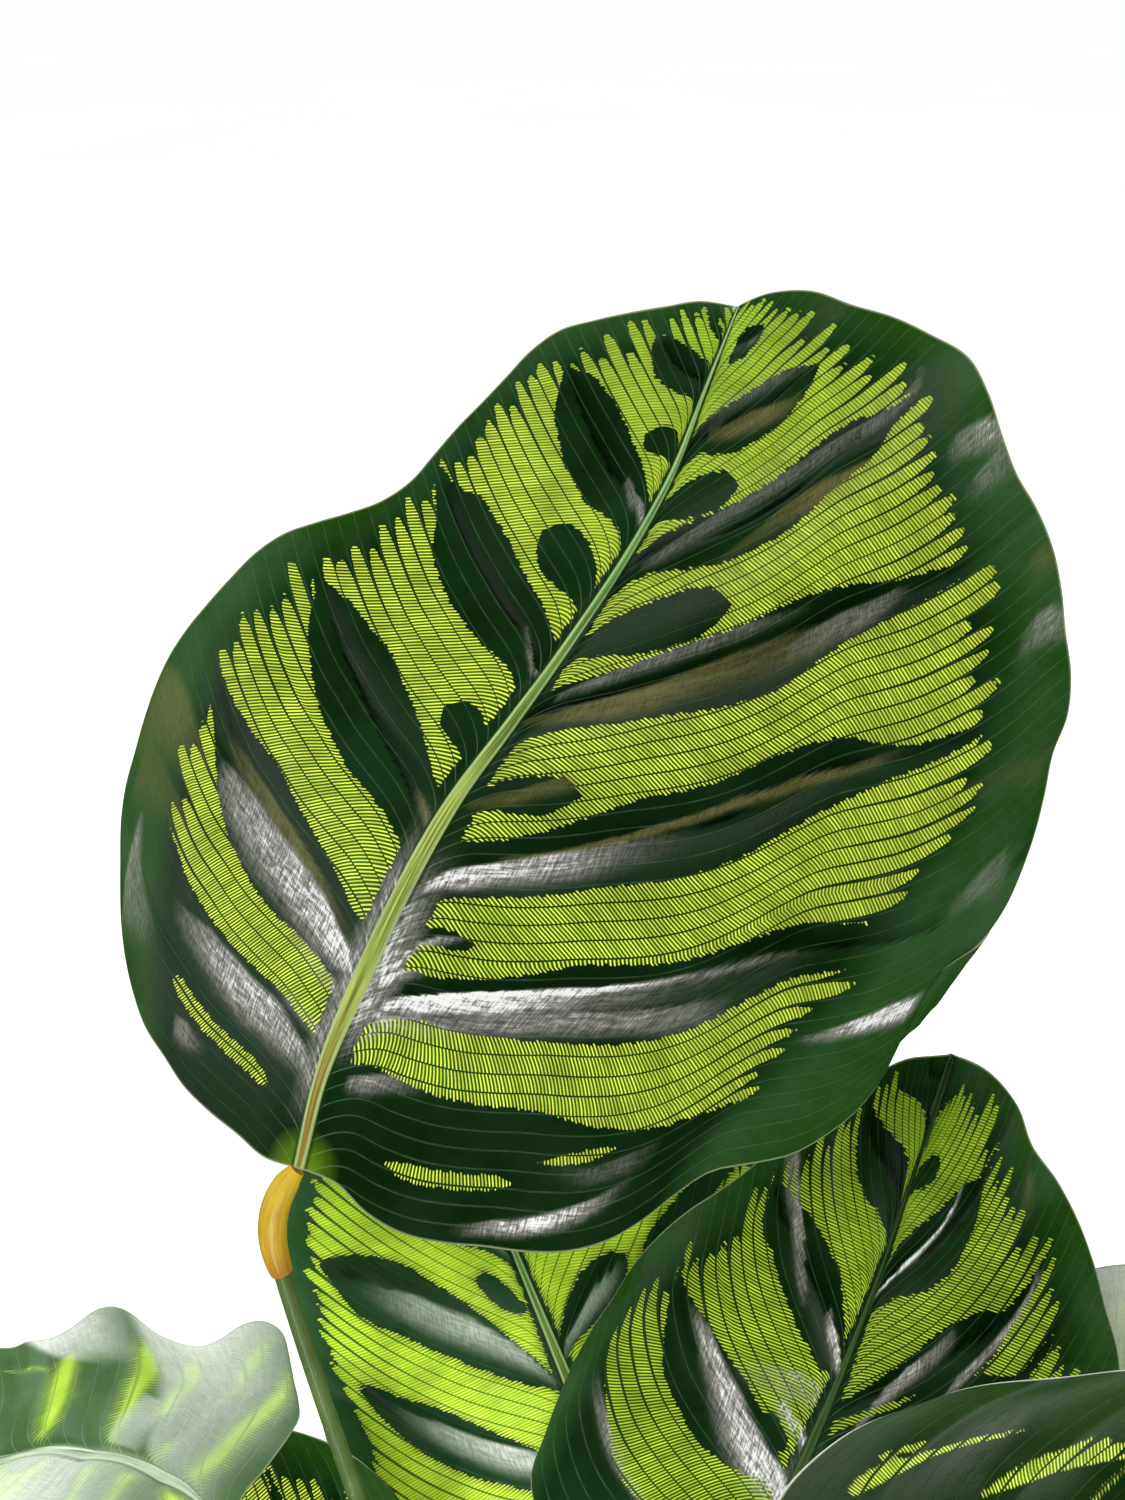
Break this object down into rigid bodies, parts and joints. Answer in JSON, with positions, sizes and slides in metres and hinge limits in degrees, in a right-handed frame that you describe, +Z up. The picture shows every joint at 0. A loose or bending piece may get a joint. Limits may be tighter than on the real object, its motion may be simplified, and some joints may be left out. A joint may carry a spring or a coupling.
{
  "type": "potted peacock plant",
  "caption": "Potted foliage plant: one tall, broad patterned leaf on a long stalk above a low clump of like leaves, in a plain tapered clay pot.",
  "frame": {"origin": "centre of the pot's flat underside, on the surface that the pot stands on", "axes": "+Z up along the pot's axis, -Y towards the side that the tall leaf's upper face is turned to, +X to the right seen from there"},
  "size_m": [0.2951, 0.3565, 0.4496],
  "materials": {
    "clay": "unglazed fired clay, matt, slightly dusty",
    "soil": "moist peat and bark mix, matt and crumbly",
    "blade": "glossy leaf, yellow-green between dark green blotches above, purple-red below",
    "pulvinus": "smooth amber joint under the blade, soft gloss",
    "petiole": "smooth olive green stalk, soft gloss"
  },
  "bodies": {
    "root": {"pot": "clay", "soil": "soil", "tall_blade": "blade", "tall_pulvinus": "pulvinus", "tall_petiole": "petiole", "centre_blade": "blade", "centre_pulvinus": "pulvinus", "centre_petiole": "petiole", "upright_blade": "blade", "upright_pulvinus": "pulvinus", "upright_petiole": "petiole", "right_front_blade": "blade", "right_front_pulvinus": "pulvinus", "right_front_petiole": "petiole", "left_front_blade": "blade", "left_front_pulvinus": "pulvinus", "left_front_petiole": "petiole", "left_low_blade": "blade", "left_low_pulvinus": "pulvinus", "left_low_petiole": "petiole", "right_low_blade": "blade", "right_low_pulvinus": "pulvinus", "right_low_petiole": "petiole", "back_blade": "blade", "back_pulvinus": "pulvinus", "back_petiole": "petiole", "back_right_blade": "blade", "back_right_pulvinus": "pulvinus", "back_right_petiole": "petiole", "back_left_blade": "blade", "back_left_pulvinus": "pulvinus", "back_left_petiole": "petiole", "front_blade": "blade", "front_pulvinus": "pulvinus", "front_petiole": "petiole", "front_left_blade": "blade", "front_left_pulvinus": "pulvinus", "front_left_petiole": "petiole", "front_right_blade": "blade", "front_right_pulvinus": "pulvinus", "front_right_petiole": "petiole"}
  },
  "joints": []
}
